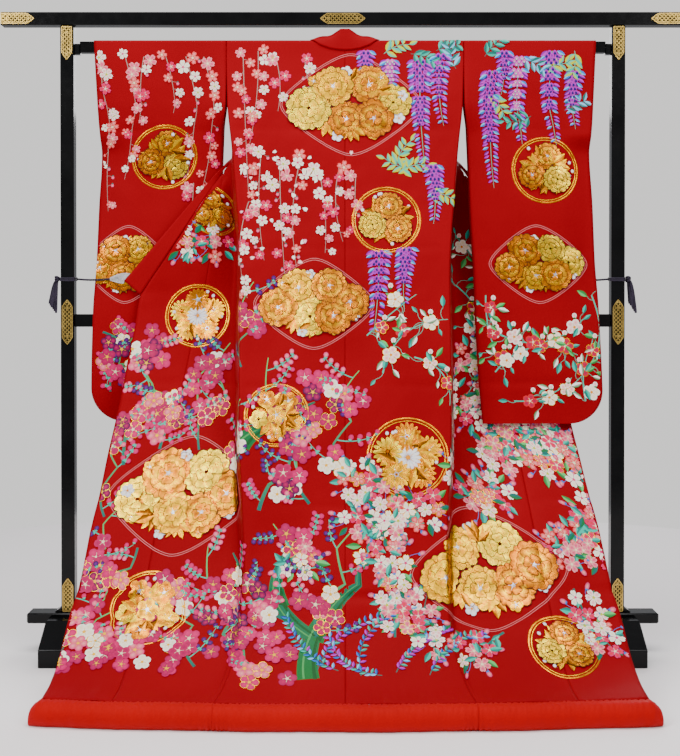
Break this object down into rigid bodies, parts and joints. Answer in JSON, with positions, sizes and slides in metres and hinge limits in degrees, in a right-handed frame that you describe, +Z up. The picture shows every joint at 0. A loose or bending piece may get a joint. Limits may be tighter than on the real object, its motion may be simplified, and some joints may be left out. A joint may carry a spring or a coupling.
{
  "type": "uchikake wedding kimono on a kimono stand",
  "caption": "Red silk uchikake wedding robe with a padded trailing hem, hung on a black lacquered kimono stand and spread to show its back.",
  "frame": {"origin": "on the floor, under the middle of the object's box", "axes": "+X along the stand's beam, to the viewer's right when the robe's back is seen; +Y from the trailing hem to the stand's rear; +Z up"},
  "size_m": [1.828, 0.8722, 1.716],
  "materials": {
    "red_silk": "satin crepe with embroidery and gold foil",
    "red_lining": "soft bright red padded silk",
    "black_lacquer": "polished black lacquer",
    "gilt_metal": "satin gilt with an engraved lattice",
    "purple_cord": "matte silk ribbon",
    "clear_clip": "clear gloss"
  },
  "bodies": {
    "root": {"body_left_back": "red_silk", "body_left_front": "red_silk", "overlap_left": "red_silk", "collar_left": "red_silk", "sleeve_left_back": "red_silk", "sleeve_left_front": "red_silk", "body_right_back": "red_silk", "body_right_front": "red_silk", "overlap_right": "red_silk", "collar_right": "red_silk", "sleeve_right_back": "red_silk", "sleeve_right_front": "red_silk", "collar_neck": "red_silk", "hem_roll_left": "red_lining", "hem_roll_back": "red_lining", "hem_roll_right": "red_lining", "top_beam": "black_lacquer", "rod": "black_lacquer", "middle_rail": "black_lacquer", "base_rail": "black_lacquer", "post_left": "black_lacquer", "rod_bracket_left": "black_lacquer", "foot_left": "black_lacquer", "post_wedge_left_outer": "black_lacquer", "post_wedge_left_inner": "black_lacquer", "post_right": "black_lacquer", "rod_bracket_right": "black_lacquer", "foot_right": "black_lacquer", "post_wedge_right_outer": "black_lacquer", "post_wedge_right_inner": "black_lacquer", "beam_plate_middle_face": "gilt_metal", "beam_plate_left_face": "gilt_metal", "post_plate_left_top_face": "gilt_metal", "post_plate_left_middle_face": "gilt_metal", "post_plate_left_low_face": "gilt_metal", "beam_plate_right_face": "gilt_metal", "post_plate_right_top_face": "gilt_metal", "post_plate_right_middle_face": "gilt_metal", "post_plate_right_low_face": "gilt_metal", "beam_plate_middle_rear": "gilt_metal", "beam_plate_left_rear": "gilt_metal", "post_plate_left_top_rear": "gilt_metal", "post_plate_left_middle_rear": "gilt_metal", "post_plate_left_low_rear": "gilt_metal", "beam_plate_right_rear": "gilt_metal", "post_plate_right_top_rear": "gilt_metal", "post_plate_right_middle_rear": "gilt_metal", "post_plate_right_low_rear": "gilt_metal", "tie_band_left": "purple_cord", "tie_cord_left": "purple_cord", "tie_tails_left": "purple_cord", "tie_band_right": "purple_cord", "tie_cord_right": "purple_cord", "tie_tails_right": "purple_cord", "clip_left": "clear_clip", "clip_right": "clear_clip"}
  },
  "joints": []
}
